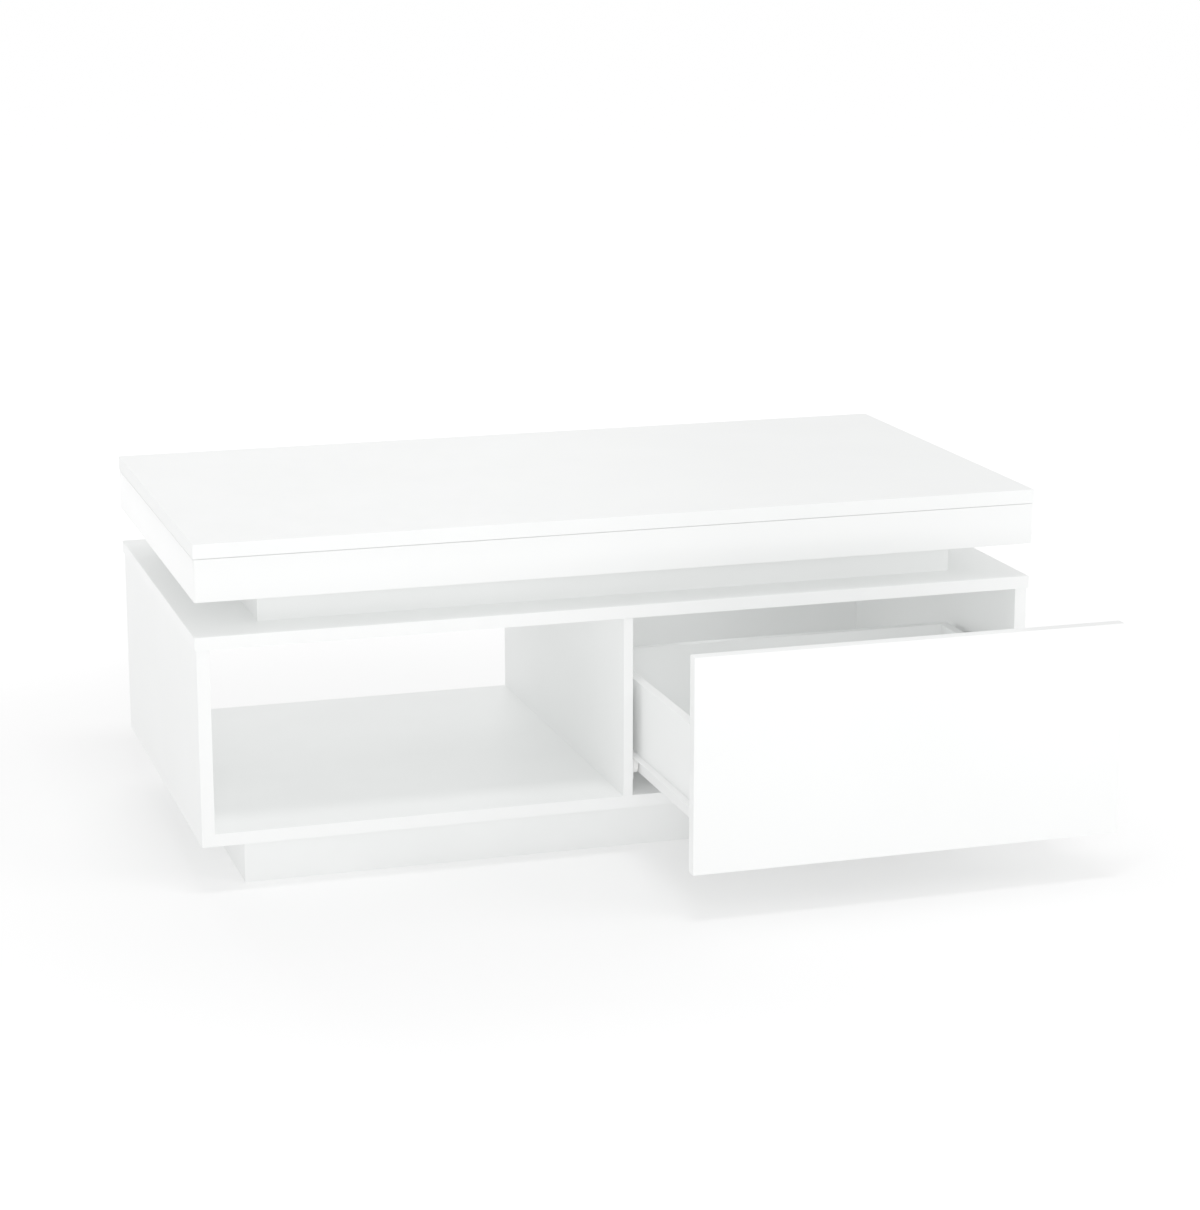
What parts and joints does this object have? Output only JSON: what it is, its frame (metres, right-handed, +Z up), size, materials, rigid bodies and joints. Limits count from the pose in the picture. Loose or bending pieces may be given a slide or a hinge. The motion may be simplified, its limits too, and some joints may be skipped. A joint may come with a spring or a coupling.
{
  "type": "lift top coffee table",
  "caption": "White board coffee table: a lid that lifts and comes forward on two linkages over a storage well, a full-height drawer, an open niche and a recessed plinth.",
  "frame": {"origin": "on the floor under the middle of the table top, on the underside of the plinth's centre rail", "axes": "+Z up, +X along the table's length to the right seen from the front, -Y out of the front"},
  "size_m": [1.1015, 0.845, 0.448],
  "materials": {
    "white_board": "matt white melamine on particle board, white edge banding",
    "white_lacquer": "satin white lacquered board",
    "white_steel": "white epoxy coating",
    "nylon": "moulded white nylon",
    "black_steel": "black powder coating",
    "zinc_steel": "bright zinc plating",
    "clear_pad": "frosted clear bumper"
  },
  "bodies": {
    "carcass": {"box_back": "white_lacquer", "box_floor": "white_board", "box_front": "white_lacquer", "box_left": "white_lacquer", "box_right": "white_lacquer", "cabinet_slide_left": "white_steel", "cabinet_slide_right": "white_steel", "carcass_bottom": "white_board", "carcass_divider": "white_board", "carcass_left_side": "white_board", "carcass_right_side": "white_board", "carcass_top": "white_board", "drawer_bay_back": "white_board", "front_arm_lower_pin_left": "zinc_steel", "front_arm_lower_pin_right": "zinc_steel", "lid_bumper_back_left": "clear_pad", "lid_bumper_back_right": "clear_pad", "lid_bumper_front_left": "clear_pad", "lid_bumper_front_right": "clear_pad", "lift_base_left": "black_steel", "lift_base_right": "black_steel", "lift_spring_left": "zinc_steel", "lift_spring_right": "zinc_steel", "plinth_back": "white_board", "plinth_centre_rail": "white_board", "plinth_front": "white_board", "plinth_left": "white_board", "plinth_right": "white_board", "rear_arm_lower_pin_left": "zinc_steel", "rear_arm_lower_pin_right": "zinc_steel", "spacer_back": "white_board", "spacer_front": "white_board", "spacer_left": "white_board", "spacer_right": "white_board"},
    "cabinet_roller_left": {"cabinet_roller_left": "nylon"},
    "cabinet_roller_right": {"cabinet_roller_right": "nylon"},
    "rear_arms": {"cross_tube": "black_steel", "rear_arm_left": "black_steel", "rear_arm_right": "black_steel"},
    "drawer": {"drawer_back": "white_board", "drawer_bottom": "white_board", "drawer_bumper_left": "clear_pad", "drawer_bumper_right": "clear_pad", "drawer_front": "white_lacquer", "drawer_left_side": "white_board", "drawer_right_side": "white_board", "drawer_slide_left": "white_steel", "drawer_slide_right": "white_steel"},
    "drawer_roller_left": {"drawer_roller_left": "nylon"},
    "drawer_roller_right": {"drawer_roller_right": "nylon"},
    "front_arm_left": {"front_arm_left": "black_steel"},
    "front_arm_right": {"front_arm_right": "black_steel"},
    "lid": {"front_arm_upper_pin_left": "zinc_steel", "front_arm_upper_pin_right": "zinc_steel", "lid_bracket_left": "black_steel", "lid_bracket_right": "black_steel", "lid_panel": "white_board", "rear_arm_upper_pin_left": "zinc_steel", "rear_arm_upper_pin_right": "zinc_steel"}
  },
  "joints": [
    {"name": "lift", "type": "hinge", "parent": "carcass", "child": "rear_arms", "pos_m": [0, -0.03, 0.347], "axis": [1, 0, 0], "range_deg": [0, 95], "deforming": ["lift_spring_left", "lift_spring_right"]},
    {"name": "lid_level", "type": "hinge", "parent": "rear_arms", "child": "lid", "pos_m": [0, 0.192, 0.405], "axis": [1, 0, 0], "range_deg": [-95, 0]},
    {"name": "front_arm_left_swing", "type": "hinge", "parent": "carcass", "child": "front_arm_left", "pos_m": [0, -0.13, 0.347], "axis": [1, 0, 0], "range_deg": [0, 95]},
    {"name": "front_arm_right_swing", "type": "hinge", "parent": "carcass", "child": "front_arm_right", "pos_m": [0, -0.13, 0.347], "axis": [1, 0, 0], "range_deg": [0, 95]},
    {"name": "drawer_slide", "type": "slide", "parent": "carcass", "child": "drawer", "axis": [0, -1, 0], "range_m": [-0.255, 0.08]},
    {"name": "cabinet_roller_left_spin", "type": "hinge", "parent": "carcass", "child": "cabinet_roller_left", "pos_m": [0, -0.266, 0.118], "axis": [1, 0, 0], "continuous": true},
    {"name": "drawer_roller_left_spin", "type": "hinge", "parent": "drawer", "child": "drawer_roller_left", "pos_m": [0, -0.102, 0.1142], "axis": [1, 0, 0], "continuous": true},
    {"name": "cabinet_roller_right_spin", "type": "hinge", "parent": "carcass", "child": "cabinet_roller_right", "pos_m": [0, -0.266, 0.118], "axis": [1, 0, 0], "continuous": true},
    {"name": "drawer_roller_right_spin", "type": "hinge", "parent": "drawer", "child": "drawer_roller_right", "pos_m": [0, -0.102, 0.1142], "axis": [1, 0, 0], "continuous": true}
  ],
  "couplings": [
    {"joint": "lid_level", "follows": "lift", "ratio": -1},
    {"joint": "front_arm_left_swing", "follows": "lift", "ratio": 1},
    {"joint": "front_arm_right_swing", "follows": "lift", "ratio": 1},
    {"joint": "cabinet_roller_left_spin", "follows": "drawer_slide", "rad_per_m": 95.238},
    {"joint": "drawer_roller_left_spin", "follows": "drawer_slide", "rad_per_m": 95.238},
    {"joint": "cabinet_roller_right_spin", "follows": "drawer_slide", "rad_per_m": 95.238},
    {"joint": "drawer_roller_right_spin", "follows": "drawer_slide", "rad_per_m": 95.238}
  ]
}
